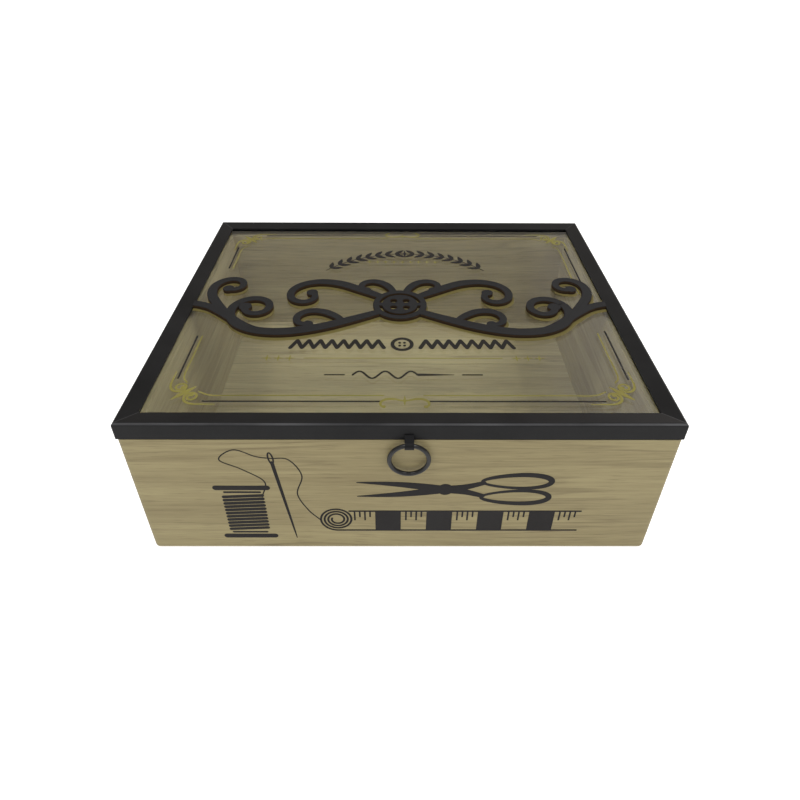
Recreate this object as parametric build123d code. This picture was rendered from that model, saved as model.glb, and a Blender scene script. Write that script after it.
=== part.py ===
"""A wooden sewing box with a hinged glass lid in a folded metal frame.

Sizes are in millimetres. The origin is at the middle of the base, +Z is up, +X is to the right,
and the front of the box, with the pull ring, looks towards -Y.
"""
from build123d import *
import os
from bisect import bisect_left
from math import ceil, cos, radians, sin
from typing import NamedTuple

# Wooden box
BOX_WIDTH = 240.0
BOX_DEPTH = 200.0
WALL_HEIGHT = 73.5
WALL_THICK = 8.0
CORNER_ROUND = 2.5          # outer upright corners
BASE_ROUND = 2.0            # outer bottom edge
PANEL_THICK = 3.0
PANEL_RECESS = 1.2          # from the bottom edge of the walls up to the panel
GROOVE_DEPTH = 4.0
GROOVE_PLAY = 0.15          # over the panel and round its edge

# Lid frame, folded from sheet
SHEET = 1.0
FLANGE_WIDTH = 8.6
FLANGE_FALL = 1.4           # from the fold down to the inner edge of the flange
SKIRT_HEIGHT = 8.8          # over the flange
BEND_ROUND = 1.2            # outside of the fold
LID_GAP = 0.3               # under the skirts, with the lid shut

# Glass and the tabs that hold it
GLASS_THICK = 3.0
GLASS_PLAY = 0.8            # from the edge of the pane to the skirt
CLIP_SHEET = 0.6
CLIP_WIDTH = 8.0
CLIP_TONGUE = 6.0
CLIP_LEG = 2.0
CLIPS_A_SIDE = 2

# Hinges, one near each end of the back wall
LEFT_HINGE_INSET = 9.5      # from the end of the box to the outer end of the hinge
RIGHT_HINGE_INSET = 17.0
HINGE_WIDTH = 23.0
KNUCKLES = 3                # the outer two belong to the box leaf
KNUCKLE_PLAY = 0.15         # between neighbouring knuckles
BARREL_RADIUS = 1.9
BARREL_STANDOFF = 0.35      # from the barrel to the back of the box
BARREL_RISE = 0.8           # of the axis over the top of the walls
LEAF_THICK = 0.8
BOX_LEAF_HEIGHT = 12.0      # below the axis
LID_LEAF_HEIGHT = 7.0       # over the axis
LEAF_CORNER = 1.5
BARREL_CLEARANCE = 0.2      # in the notch of a leaf where the other leaf's knuckles turn
PIN_RADIUS = 0.8
PIN_CLEARANCE = 0.05
SCREW_RADIUS = 1.0
SCREW_LENGTH = 6.0          # in the wood
SCREW_CLEARANCE = 0.05
SCREW_HEAD_RADIUS = 1.9
SCREW_HEAD_HEIGHT = 1.0
SCREW_HEAD_TOP_RADIUS = 1.3
SCREW_INSET = 5.0           # from each end of the hinge to the nearer screw
SCREW_DROP = 8.0            # below the hinge axis

# Pull ring and the strap that carries it
PULL_SHIFT = 3.7            # to the right of the middle
RING_RADIUS = 8.5           # to the middle of the wire
WIRE_RADIUS = 1.0
WIRE_SIDES = 8              # the wire's round section is cut as a polygon with this many sides
EYE_DROP = 1.5              # from the lower edge of the skirt to the middle of the eye
EYE_RADIUS = 1.35           # the ring is curved inside the eye, so it is wider than the wire
STRAP_WIDTH = 4.0
STRAP_THICK = 0.5
STRAP_LAP = 3.0             # on the face of the skirt
STRAP_STANDOFF = 0.35       # from the eye to the front of the box

# Raised ornament
ORNAMENT_THICK = 2.0
ORNAMENT_Y = -5.1           # its middle line
BUTTON_RADIUS = 14.5
BUTTON_RIM = 3.2
BUTTON_GROOVE = 1.7
BUTTON_BRIDGE = 3.0         # two bridges carry the middle of the button across its groove
BUTTON_HOLE = 1.9
BUTTON_HOLE_PITCH = 6.8
WALK_STEP = 0.25            # along a scroll, when its line is worked out
ARC_TURN_DEGREES = 45       # the most that one arc of a scroll's outline turns
ARC_REACH = 32.0            # the most that one arc is long


class Scroll(NamedTuple):
    """A stroke of the ornament, drawn on the right of the button and mirrored to the left. The ornament is
    scaled as a whole to reach from one side rail to the other."""
    start: tuple        # from the middle of the button
    heading: float      # degrees, from the +X direction
    length: float
    bends: tuple        # 1/mm, positive to the left, at evenly spaced places
    widths: tuple       # at evenly spaced places
    bead: float = 0     # radius of the disc that ends it


RAIL_SCROLL = Scroll((76, -24.5), 24, 48, (0.022, 0.02, -0.008, -0.03, -0.03), (3.5, 5, 6, 5, 5))
SCROLLS = [
    RAIL_SCROLL,
    Scroll((10, 8), 30, 92, (0.012, -0.004, -0.03, -0.05, -0.085, -0.14, -0.2),
           (4.5, 6, 6, 5.2, 4.5, 4, 3.6), 3.2),
    Scroll((10, -7), -28, 152, (0, 0.004, 0.012, 0.026, 0.05, 0.085, 0.13, 0.17),
           (4.5, 6, 6.5, 6.2, 5.5, 4.8, 4.2, 3.8), 3.6),
    Scroll((93, -10.5), 50, 70, (0, 0.012, 0.05, 0.10, 0.16, 0.22), (3.5, 5.4, 5.6, 4.8, 4, 3.6), 3.2),
    Scroll((30, -17.5), 52, 44, (-0.01, -0.045, -0.09, -0.15, -0.22), (3.2, 4.8, 4.6, 4, 3.4), 2.8),
    Scroll((3, 11), 76, 36, (-0.02, -0.05, -0.10, -0.18, -0.24), (3.4, 4.8, 4.6, 4, 3.4), 2.7),
]

# Worked out from the sizes above
SKIRT_BOTTOM = WALL_HEIGHT + LID_GAP
FLANGE_TOP = SKIRT_BOTTOM + SKIRT_HEIGHT
GLASS_TOP = FLANGE_TOP - FLANGE_FALL - SHEET
GLASS_BOTTOM = GLASS_TOP - GLASS_THICK
INNER_WIDTH = BOX_WIDTH - 2 * WALL_THICK
INNER_DEPTH = BOX_DEPTH - 2 * WALL_THICK
HINGE_Y = BOX_DEPTH / 2 + BARREL_STANDOFF + BARREL_RADIUS
HINGE_Z = WALL_HEIGHT + BARREL_RISE
HINGES = {
    "left": -BOX_WIDTH / 2 + LEFT_HINGE_INSET + HINGE_WIDTH / 2,
    "right": BOX_WIDTH / 2 - RIGHT_HINGE_INSET - HINGE_WIDTH / 2,
}
EYE_OUTER = EYE_RADIUS + STRAP_THICK
EYE_Y = -BOX_DEPTH / 2 - STRAP_STANDOFF - EYE_OUTER
EYE_Z = SKIRT_BOTTOM - EYE_DROP
ORNAMENT_HALF = BOX_WIDTH / 2 - FLANGE_WIDTH
SIDES = {"front": 0, "right": 90, "back": 180, "left": 270}
OVERRUN = 1.0               # how far cutting shapes run past what they cut


def block(width, depth, bottom, top):
    """A plain block, centred on the Z axis, between two heights."""
    return Pos(0, 0, bottom) * Box(width, depth, top - bottom, align=(Align.CENTER, Align.CENTER, Align.MIN))


def along_side(side):
    """The length of a side of the box and the distance across to the side that faces it."""
    return (BOX_WIDTH, BOX_DEPTH) if side in ("front", "back") else (BOX_DEPTH, BOX_WIDTH)


def mitre_zone(length, across, reach, bottom, top):
    """All that lies between the two 45 degree mitres of a front piece, out to a given reach inwards."""
    outer_x, outer_y = length / 2 + OVERRUN, -across / 2 - OVERRUN
    inner_x, inner_y = length / 2 - reach, -across / 2 + reach
    corners = [(-outer_x, outer_y), (outer_x, outer_y), (inner_x, inner_y), (-inner_x, inner_y)]
    outline = make_face(Polyline(*corners, close=True))
    return extrude(Pos(0, 0, bottom) * outline, top - bottom)


def wall_ring():
    """The four walls in one: rounded outside, with the groove for the bottom panel inside."""
    ring = block(BOX_WIDTH, BOX_DEPTH, 0, WALL_HEIGHT)
    ring = fillet(ring.edges().filter_by(Axis.Z), CORNER_ROUND)
    ring = fillet(ring.faces().sort_by(Axis.Z)[0].edges(), BASE_ROUND)
    ring -= block(INNER_WIDTH, INNER_DEPTH, -OVERRUN, WALL_HEIGHT + OVERRUN)
    groove_top = PANEL_RECESS + PANEL_THICK + GROOVE_PLAY
    ring -= block(INNER_WIDTH + 2 * GROOVE_DEPTH, INNER_DEPTH + 2 * GROOVE_DEPTH, PANEL_RECESS, groove_top)
    return ring


def screw_places():
    """Where the four hinge screws meet the back of the box."""
    for middle in HINGES.values():
        for end in (-1, 1):
            yield middle + end * (HINGE_WIDTH / 2 - SCREW_INSET), BOX_DEPTH / 2, HINGE_Z - SCREW_DROP


def drilled(shape, radius, outside, inside):
    """The shape with a hole at every screw, from outside the back of the box to a depth inside it."""
    for x, y, z in screw_places():
        shape -= Pos(x, y + (outside - inside) / 2, z) * Rot(90, 0, 0) * Cylinder(radius, outside + inside)
    return shape


def wall(ring, side):
    """One wall, cut from the ring at its two mitres."""
    length, across = along_side(side)
    zone = mitre_zone(length, across, WALL_THICK, -OVERRUN, WALL_HEIGHT + OVERRUN)
    piece = ring & Rot(0, 0, SIDES[side]) * zone
    if side == "back":
        piece = drilled(piece, SCREW_RADIUS + SCREW_CLEARANCE, OVERRUN, SCREW_LENGTH + SCREW_CLEARANCE)
    return piece


def bottom_panel():
    """The thin panel, lying on the lower face of the groove."""
    spread = 2 * (GROOVE_DEPTH - GROOVE_PLAY)
    return block(INNER_WIDTH + spread, INNER_DEPTH + spread, PANEL_RECESS, PANEL_RECESS + PANEL_THICK)


def lid_rail(side):
    """One folded L rail, mitred at both ends: a skirt, and a flange that slopes down from it to the glass."""
    length, across = along_side(side)
    outer, flange_edge, skirt_inner = -across / 2, -across / 2 + FLANGE_WIDTH, -across / 2 + SHEET
    under_fold = GLASS_TOP + FLANGE_FALL * (1 - SHEET / FLANGE_WIDTH)
    corners = [(outer, SKIRT_BOTTOM), (outer, FLANGE_TOP), (flange_edge, GLASS_TOP + SHEET),
               (flange_edge, GLASS_TOP), (skirt_inner, under_fold), (skirt_inner, SKIRT_BOTTOM)]
    section = make_face(Polyline(*corners, close=True))
    fold = section.vertices().sort_by_distance((outer, FLANGE_TOP))[0]
    section = fillet(fold, BEND_ROUND)
    hollow = section.vertices().sort_by_distance((skirt_inner, under_fold))[0]
    section = fillet(hollow, BEND_ROUND - SHEET)
    bar = extrude(Plane.YZ * section, length / 2 + OVERRUN, both=True)
    zone = mitre_zone(length, across, FLANGE_WIDTH, WALL_HEIGHT, FLANGE_TOP + OVERRUN)
    return Rot(0, 0, SIDES[side]) * (bar & zone)


def glass_pane():
    """The pane, pressed up against the inner edges of the flanges."""
    gap = 2 * (SHEET + GLASS_PLAY)
    return block(BOX_WIDTH - gap, BOX_DEPTH - gap, GLASS_BOTTOM, GLASS_TOP)


def glass_clips():
    """Bent tabs: a leg on the inside of the skirt and a tongue under the glass."""
    clips = []
    for side, turn in SIDES.items():
        length, across = along_side(side)
        back = -across / 2 + SHEET
        under, foot = GLASS_BOTTOM - CLIP_SHEET, GLASS_BOTTOM - CLIP_LEG
        leg_face, tip = back + CLIP_SHEET, back + CLIP_TONGUE
        corners = [(back, GLASS_BOTTOM), (tip, GLASS_BOTTOM), (tip, under), (leg_face, under),
                   (leg_face, foot), (back, foot)]
        clip = extrude(Plane.YZ * make_face(Polyline(*corners, close=True)), CLIP_WIDTH / 2, both=True)
        for number in range(CLIPS_A_SIDE):
            place = ((number + 0.5) / CLIPS_A_SIDE - 0.5) * length
            clips.append(Rot(0, 0, turn) * Pos(place, 0, 0) * clip)
    return Compound(children=clips)


def knuckle_spans(leaf):
    """The start and end, along the hinge, of each knuckle of a leaf; the box leaf has the outer two."""
    pitch = HINGE_WIDTH / KNUCKLES
    for number in range(0 if leaf == "box" else 1, KNUCKLES, 2):
        start = -HINGE_WIDTH / 2 + number * pitch
        first, last = number == 0, number == KNUCKLES - 1
        yield start + (0 if first else KNUCKLE_PLAY / 2), start + pitch - (0 if last else KNUCKLE_PLAY / 2)


def rod(radius, start, end):
    """A round bar along the hinge axis."""
    return Pos((start + end) / 2, 0, 0) * Rot(0, 90, 0) * Cylinder(radius, end - start)


def hinge_leaf(leaf, middle):
    """A leaf with its knuckles, made round the hinge axis and notched for the other leaf's knuckles."""
    near = -BARREL_RADIUS - BARREL_STANDOFF
    low, high = (-BOX_LEAF_HEIGHT, 0) if leaf == "box" else (0, LID_LEAF_HEIGHT)
    plate = Pos(0, near + LEAF_THICK / 2, (low + high) / 2) * Box(HINGE_WIDTH, LEAF_THICK, high - low)
    corners = plate.edges().filter_by(Axis.Y).sort_by(Axis.Z)
    body = fillet(corners[:2] if leaf == "box" else corners[-2:], LEAF_CORNER)
    web_depth = BARREL_STANDOFF + BARREL_RADIUS
    for start, end in knuckle_spans(leaf):
        rise = -BARREL_RADIUS / 2 if leaf == "box" else BARREL_RADIUS / 2
        web = Box(end - start, web_depth, BARREL_RADIUS)
        web = Pos((start + end) / 2, near + web_depth / 2, rise) * web
        body += rod(BARREL_RADIUS, start, end) + web
    reach = BARREL_RADIUS + BARREL_CLEARANCE
    for start, end in knuckle_spans("lid" if leaf == "box" else "box"):
        notch = Box(end - start + 2 * KNUCKLE_PLAY, 2 * (web_depth + OVERRUN), 2 * reach)
        body -= Pos((start + end) / 2, 0, 0) * notch
    body -= rod(PIN_RADIUS + PIN_CLEARANCE, -HINGE_WIDTH, HINGE_WIDTH)
    body = Pos(middle, HINGE_Y, HINGE_Z) * body
    if leaf == "box":
        body = drilled(body, SCREW_RADIUS + SCREW_CLEARANCE, LEAF_THICK + OVERRUN, OVERRUN)
    return body


def hinge_pin(middle):
    """A plain pin, as long as the hinge."""
    return Pos(middle, HINGE_Y, HINGE_Z) * rod(PIN_RADIUS, -HINGE_WIDTH / 2, HINGE_WIDTH / 2)


def hinge_screws():
    """Four screws, with plain shanks, through the box leaves into the back wall."""
    on_end = (Align.CENTER, Align.CENTER, Align.MIN)
    head = Cone(SCREW_HEAD_RADIUS, SCREW_HEAD_TOP_RADIUS, SCREW_HEAD_HEIGHT, align=on_end)
    shank = Cylinder(SCREW_RADIUS, SCREW_LENGTH + LEAF_THICK, align=on_end)
    screw = Pos(0, 0, -SCREW_LENGTH) * shank + Pos(0, 0, LEAF_THICK) * head
    return Compound(children=[Pos(x, y, z) * Rot(-90, 0, 0) * screw for x, y, z in screw_places()])


def pull_tab():
    """The strap: a lap on the face of the skirt, a neck in front of the box and an eye round the wire."""
    face = -BOX_DEPTH / 2
    clear = face - STRAP_STANDOFF
    lap_top = SKIRT_BOTTOM + STRAP_LAP
    lap = Polyline((face, SKIRT_BOTTOM), (face, lap_top), (face - STRAP_THICK, lap_top),
                   (EYE_Y - EYE_OUTER, EYE_Z), (clear, EYE_Z), (clear, SKIRT_BOTTOM), close=True)
    section = make_face(lap) + Pos(EYE_Y, EYE_Z) * Circle(EYE_OUTER)
    section -= Pos(EYE_Y, EYE_Z) * Circle(EYE_RADIUS)
    return Pos(PULL_SHIFT, 0, 0) * extrude(Plane.YZ * section, STRAP_WIDTH / 2, both=True)


def pull_ring():
    """The wire ring, hanging with its top inside the eye of the strap."""
    section = Pos(RING_RADIUS, 0) * RegularPolygon(WIRE_RADIUS, WIRE_SIDES)
    ring = revolve(Plane.XZ * section, Axis.Z)
    return Pos(PULL_SHIFT, EYE_Y, EYE_Z - RING_RADIUS) * Rot(90, 0, 0) * ring


def evenly(values, share):
    """Read a row of evenly spaced values at a share of the way along, in a straight line between two."""
    place = share * (len(values) - 1)
    index = min(int(place), len(values) - 2)
    return values[index] + (place - index) * (values[index + 1] - values[index])


def scroll_line(scroll, scale=1.0):
    """Walk along a line whose bend changes steadily. Gives the scaled point, the heading and the share of the
    way at each station, two stations to an arc of the outline, closer together where the line bends more."""
    walk = round(scroll.length / WALK_STEP)
    step = scroll.length / walk
    x, y = scroll.start
    angle = radians(scroll.heading)
    line, arcs = [(scale * x, scale * y, angle)], [0.0]
    for number in range(walk):
        turn = step * evenly(scroll.bends, (number + 0.5) / walk)
        x += step * cos(angle + turn / 2)
        y += step * sin(angle + turn / 2)
        angle += turn
        line.append((scale * x, scale * y, angle))
        arcs.append(arcs[-1] + abs(turn) / radians(ARC_TURN_DEGREES) + step / ARC_REACH)
    spans = 2 * ceil(arcs[-1])
    picks = [bisect_left(arcs, arcs[-1] * span / spans) for span in range(spans)] + [walk]
    return [(*line[pick], pick / walk) for pick in picks]


def arc_chain(points):
    """Arcs through every other point of a row, each by way of the point between."""
    return [ThreePointArc(*points[index:index + 3]) for index in range(0, len(points) - 2, 2)]


def stroke(scroll, scale):
    """The flat face of a scroll, swelling and thinning along its line, with a round start and its end bead."""
    stations = scroll_line(scroll, scale)
    left, right = [], []
    for x, y, angle, share in stations:
        half = scale * evenly(scroll.widths, share) / 2
        left.append((x - half * sin(angle), y + half * cos(angle)))
        right.append((x + half * sin(angle), y - half * cos(angle)))
    edges = arc_chain(left) + [Line(left[-1], right[-1])] + arc_chain(right) + [Line(right[0], left[0])]
    face = make_face(edges)
    face += Pos(*stations[0][:2]) * Circle(scale * scroll.widths[0] / 2)
    if scroll.bead:
        face += Pos(*stations[-1][:2]) * Circle(scale * scroll.bead)
    return face


def button_face():
    """A four-hole button: a rim, a groove crossed by two bridges, and a middle with its holes."""
    inner = BUTTON_RADIUS - BUTTON_RIM
    middle = Circle(inner - BUTTON_GROOVE)
    for column in (-0.5, 0.5):
        for row in (-0.5, 0.5):
            middle -= Pos(column * BUTTON_HOLE_PITCH, row * BUTTON_HOLE_PITCH) * Circle(BUTTON_HOLE)
    bridges = Rectangle(2 * inner + BUTTON_RIM, BUTTON_BRIDGE) - Circle(inner - BUTTON_GROOVE)
    return Circle(BUTTON_RADIUS) - Circle(inner) + middle + bridges


def raised_ornament():
    """Scrolls to both sides of a button, cut from one plate that ends against the side rails."""
    rail_scroll_end = scroll_line(RAIL_SCROLL)[-1]
    scale = (ORNAMENT_HALF + OVERRUN) / rail_scroll_end[0]
    half = Sketch()
    for scroll in SCROLLS:
        half += stroke(scroll, scale)
    half -= Circle(BUTTON_RADIUS - BUTTON_RIM / 2)
    face = half + mirror(half, Plane.YZ) + button_face()
    plate = extrude(Pos(0, ORNAMENT_Y, GLASS_TOP) * face, ORNAMENT_THICK)
    return plate & block(2 * ORNAMENT_HALF, BOX_DEPTH, GLASS_TOP, GLASS_TOP + ORNAMENT_THICK)


def build():
    """Every piece of the sewing box by its name."""
    ring = wall_ring()
    pieces = {side + "_wall": wall(ring, side) for side in SIDES}
    pieces["bottom_panel"] = bottom_panel()
    for side, middle in HINGES.items():
        pieces[side + "_hinge_box_leaf"] = hinge_leaf("box", middle)
        pieces[side + "_hinge_lid_leaf"] = hinge_leaf("lid", middle)
        pieces[side + "_hinge_pin"] = hinge_pin(middle)
    pieces["hinge_screws"] = hinge_screws()
    for side in SIDES:
        pieces["lid_" + side + "_rail"] = lid_rail(side)
    pieces["glass_pane"] = glass_pane()
    pieces["glass_clips"] = glass_clips()
    pieces["raised_ornament"] = raised_ornament()
    pieces["pull_tab"] = pull_tab()
    pieces["pull_ring"] = pull_ring()
    return pieces


os.makedirs("parts", exist_ok=True)
for name, shape in build().items():
    export_step(shape, f"parts/{name}.step")
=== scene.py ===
"""The looks of the sewing box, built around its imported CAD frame. Lengths are metres, but the prints are
drawn in millimetres, and printed() brings them to scale."""
import math

import bpy
import numpy as np
from mathutils import Matrix, Vector


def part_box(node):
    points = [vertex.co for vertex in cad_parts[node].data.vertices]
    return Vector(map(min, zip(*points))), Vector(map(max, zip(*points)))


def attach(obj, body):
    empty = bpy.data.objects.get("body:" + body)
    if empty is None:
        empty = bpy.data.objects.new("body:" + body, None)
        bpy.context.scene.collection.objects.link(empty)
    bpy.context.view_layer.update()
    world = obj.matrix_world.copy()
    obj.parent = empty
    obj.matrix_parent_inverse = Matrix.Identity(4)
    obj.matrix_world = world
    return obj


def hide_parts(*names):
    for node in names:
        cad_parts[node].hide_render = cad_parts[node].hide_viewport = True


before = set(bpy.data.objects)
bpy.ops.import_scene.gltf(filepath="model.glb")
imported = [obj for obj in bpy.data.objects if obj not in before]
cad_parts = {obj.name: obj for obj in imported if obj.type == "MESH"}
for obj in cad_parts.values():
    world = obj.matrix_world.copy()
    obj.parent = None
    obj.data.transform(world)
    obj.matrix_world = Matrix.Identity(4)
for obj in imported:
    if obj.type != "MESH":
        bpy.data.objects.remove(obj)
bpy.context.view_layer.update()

bl_info = {
    "name": "Glass-lid sewing box",
    "version": (1, 0, 0),
    "blender": (4, 5, 0),
    "location": "3D View > Sidebar > Sewing box",
    "description": "Finishes, prints and small metal parts of a wooden sewing box with a glass lid",
    "category": "Object",
}

MM = 0.001
GLASS_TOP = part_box("glass_pane")[1].z
FRONT_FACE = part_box("front_wall")[0].y
RING_LOW, RING_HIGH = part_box("pull_ring")

CAP_STEPS = 6               # points in the round end of a stroke
STACK_SHARE = 0.5           # how much thicker the last stroke of a print is than the first
RING_STEPS, WIRE_STEPS = 128, 24
FLOOR_HALF = 6.0

# Places of the prints on the glass, in mm from its middle: front and back, then left and right
BORDER_Y, BORDER_X = (-83, 82.7), (-102, 104.8)
GOLD_Y, GOLD_X = (-79, 78.8), (-99.6, 100.7)
CORNER_Y, CORNER_X = (-85.9, 85.7), (-105, 107.4)
MIDDLE_X = 1.5              # the middle between the ends of the broken border lines
FLOURISH_X, FLOURISH_GAP = 1.9, 9
STITCH_Y, STARS_Y, THREAD_Y, SMALL_STARS_Y = -39.8, -51.4, -64.2, 46.5
BLACK_LINE, GOLD_LINE = 0.95, 0.75
SHADOW_SHIFT = (0.7, -2.3)  # from the raised scrolls to their printed shadow
FRONT_SHIFT = (0.4, 1.6)    # of the whole print on the front wall

# Lamps: name, place, size from side to side, size from front to back, watts
LAMPS = (
    ("right_light", (0.67, -0.25, 1.4), 0.1, 0.9, 7.0),
    ("left_light", (-0.48, -0.25, 1.4), 0.4, 0.9, 6.6),
)

# The camera fitted to the edges in the photograph
CAMERA_PLACE = (-0.00169, -0.28605, 0.25612)
CAMERA_TURNS = (35.714, 0.385, 0.328)       # degrees: pitch down, yaw to the right, roll
CAMERA_SHIFT = -0.06744                     # of the picture, in shares of its width


# ---------------------------------------------------------------- meshes

def add_piece(name, points, faces, material, body, smooth=False):
    """Puts rows of points and faces into a new object at the origin, and lets it ride on a body."""
    mesh = bpy.data.meshes.new(name)
    mesh.from_pydata([tuple(point) for point in points], [], [tuple(map(int, face)) for face in faces])
    mesh.validate()
    mesh.materials.append(material)
    mesh.polygons.foreach_set("use_smooth", np.full(len(mesh.polygons), smooth))
    piece = bpy.data.objects.new(name, mesh)
    bpy.context.scene.collection.objects.link(piece)
    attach(piece, body)
    return piece


def grid_faces(rows, columns, close_rows=False, close_columns=False):
    """Four-sided faces of a grid of points, stored row by row; a closed direction joins its end to its
    start."""
    row = np.arange(rows if close_rows else rows - 1)
    column = np.arange(columns if close_columns else columns - 1)
    row, column = [axis.ravel() for axis in np.meshgrid(row, column, indexing="ij")]
    next_row, next_column = (row + 1) % rows, (column + 1) % columns
    return np.stack([row * columns + column, next_row * columns + column,
                     next_row * columns + next_column, row * columns + next_column], axis=1)


def round_ends(path, widths):
    """Adds a half round at both ends of a stroke: at an angle a past the end the line goes on by sin(a) times
    half the width, and the width falls with cos(a)."""
    angle = np.linspace(0, math.pi / 2, CAP_STEPS + 1)[1:]
    angle[-1] *= 0.985                          # keeps the tip a little wider than nothing
    parts, spans = [path], [widths]
    for end, inner in ((0, 1), (-1, -2)):
        direction = path[end] - path[inner]
        direction = direction / np.linalg.norm(direction)
        reach = path[end] + np.outer(np.sin(angle) * widths[end] / 2, direction)
        fall = widths[end] * np.cos(angle)
        if end == 0:
            parts.insert(0, reach[::-1])
            spans.insert(0, fall[::-1])
        else:
            parts.append(reach)
            spans.append(fall)
    return np.concatenate(parts), np.concatenate(spans)


def stroke(path, widths, closed=False, round_off=True):
    """A drawn stroke: a line of points, its width at each, and whether it closes on itself."""
    path = np.asarray(path, float)
    widths = np.broadcast_to(np.asarray(widths, float), len(path)).copy()
    if not closed and round_off:
        path, widths = round_ends(path, widths)
    return path, widths, closed


def strip(path, widths, closed, height):
    """A flat strip with square edges. Its section, two low and two high corners half a width to each side of
    the line, is carried along the line; an open strip has a cap at each end."""
    if closed:
        tangent = np.roll(path, -1, axis=0) - np.roll(path, 1, axis=0)
    else:
        tangent = np.gradient(path, axis=0)
    tangent = tangent / np.linalg.norm(tangent, axis=1, keepdims=True)
    across = np.stack([-tangent[:, 1], tangent[:, 0]], axis=1) * widths[:, None] / 2
    left, right = path + across, path - across
    low, high = np.zeros((len(path), 1)), np.full((len(path), 1), height)
    corners = np.stack([np.hstack(pair) for pair in ((left, low), (right, low), (right, high), (left, high))],
                       axis=1)
    faces = grid_faces(len(path), 4, close_rows=closed, close_columns=True).tolist()
    if not closed:
        last = 4 * (len(path) - 1)
        faces += [[0, 1, 2, 3], [last + 3, last + 2, last + 1, last]]
    return corners.reshape(-1, 3), faces


def printed(name, strokes, origin, across, up, thick, material, body, slot=None):
    """One print of many strokes: every stroke is a thin strip on the plane through origin, and each lies a
    hair higher than the one before, so that no two tops share a plane."""
    across, up = Vector(across), Vector(up)
    basis = np.array([across, up, across.cross(up)])
    points, faces, count = [], [], 0
    for number, (path, widths, closed) in enumerate(strokes):
        corners, quads = strip(path, widths, closed, thick * (1 + STACK_SHARE * number / len(strokes)))
        points.append(np.asarray(origin) + (corners * MM) @ basis)
        faces += [[index + count for index in quad] for quad in quads]
        count += len(corners)
    add_piece(name, np.concatenate(points), faces, material, body)


# ---------------------------------------------------------------- drawn lines, in millimetres

def line(start, end, count=2):
    """Evenly spaced points from start to end."""
    return np.linspace(start, end, count)


def circle(middle, radius, count=48):
    """Points round a circle."""
    angle = np.linspace(0, 2 * math.pi, count, endpoint=False)
    return middle + radius * np.stack([np.cos(angle), np.sin(angle)], axis=1)


def dot(middle, radius):
    """A round dot: the two round ends of a stroke with next to no length."""
    middle = np.asarray(middle, float)
    return stroke([middle - (0.01, 0), middle + (0.01, 0)], 2 * radius)


def through(points, count=12):
    """A smooth line through points: between two of them it is the cubic whose slope at each is half of the
    way from the point before to the point after."""
    points = np.asarray(points, float)
    padded = np.vstack([2 * points[0] - points[1], points, 2 * points[-1] - points[-2]])
    share = np.linspace(0, 1, count, endpoint=False)[:, None]
    runs = []
    for a, b, c, d in zip(padded, padded[1:], padded[2:], padded[3:]):
        runs.append(b + (c - a) * share / 2 + (2 * a - 5 * b + 4 * c - d) * share ** 2 / 2
                    + (3 * b - a - 3 * c + d) * share ** 3 / 2)
    return np.vstack(runs + [points[-1:]])


def curl(start, heading, length, bends, widths, count=60, bead=0.0):
    """Strokes of a scroll. Its bend, in 1/mm, changes in straight runs between evenly spaced values; the
    heading is the bend summed along the line, and the point is the heading's direction summed."""
    middle = (np.arange(count) + 0.5) / count
    step = length / count
    turn = step * np.interp(middle, np.linspace(0, 1, len(bends)), bends)
    after = math.radians(heading) + np.cumsum(turn)
    heading_at = after - turn / 2
    steps = step * np.stack([np.cos(heading_at), np.sin(heading_at)], axis=1)
    path = start + np.vstack([[0, 0], np.cumsum(steps, axis=0)])
    width = np.interp(np.linspace(0, 1, count + 1), np.linspace(0, 1, len(widths)), widths)
    strokes = [stroke(path, width)]
    if bead:
        strokes.append(dot(path[-1], bead))
    return strokes


def moved(strokes, shift=(0, 0), mirror=(1, 1), scale=1.0):
    """The same strokes mirrored, scaled and shifted, in that order."""
    return [(path * mirror * scale + shift, widths * scale, closed) for path, widths, closed in strokes]


def mirrored_pair(strokes):
    """The strokes and their mirror image across the middle."""
    return strokes + moved(strokes, mirror=(-1, 1))


def star(middle, radius):
    """Four thin rays, each a stroke that narrows to its end."""
    middle = np.asarray(middle, float)
    rays = []
    for turn in (0, 90):
        angle = math.radians(turn)
        reach = radius * np.array([math.cos(angle), math.sin(angle)])
        rays.append(stroke([middle - reach, middle, middle + reach], [0.2, 0.42 * radius, 0.2]))
    return rays


# The raised scrolls, with the numbers of the CAD source: start, heading, length, bends, widths, bead
SCROLLS = [
    ((76, -24.5), 24, 48, (0.022, 0.02, -0.008, -0.03, -0.03), (3.5, 5, 6, 5, 5), 0),
    ((10, 8), 30, 92, (0.012, -0.004, -0.03, -0.05, -0.085, -0.14, -0.2), (4.5, 6, 6, 5.2, 4.5, 4, 3.6), 3.2),
    ((10, -7), -28, 152, (0, 0.004, 0.012, 0.026, 0.05, 0.085, 0.13, 0.17),
     (4.5, 6, 6.5, 6.2, 5.5, 4.8, 4.2, 3.8), 3.6),
    ((93, -10.5), 50, 70, (0, 0.012, 0.05, 0.10, 0.16, 0.22), (3.5, 5.4, 5.6, 4.8, 4, 3.6), 3.2),
    ((30, -17.5), 52, 44, (-0.01, -0.045, -0.09, -0.15, -0.22), (3.2, 4.8, 4.6, 4, 3.4), 2.8),
    ((3, 11), 76, 36, (-0.02, -0.05, -0.10, -0.18, -0.24), (3.4, 4.8, 4.6, 4, 3.4), 2.7),
]
SCROLL_Y = -5.1
SCROLL_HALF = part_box("raised_ornament")[1].x / MM
OVERRUN = 1                 # how far the first scroll's line is drawn past the plate's end
BUTTON_RADIUS, BUTTON_RIM = 14.5, 3.2


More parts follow.
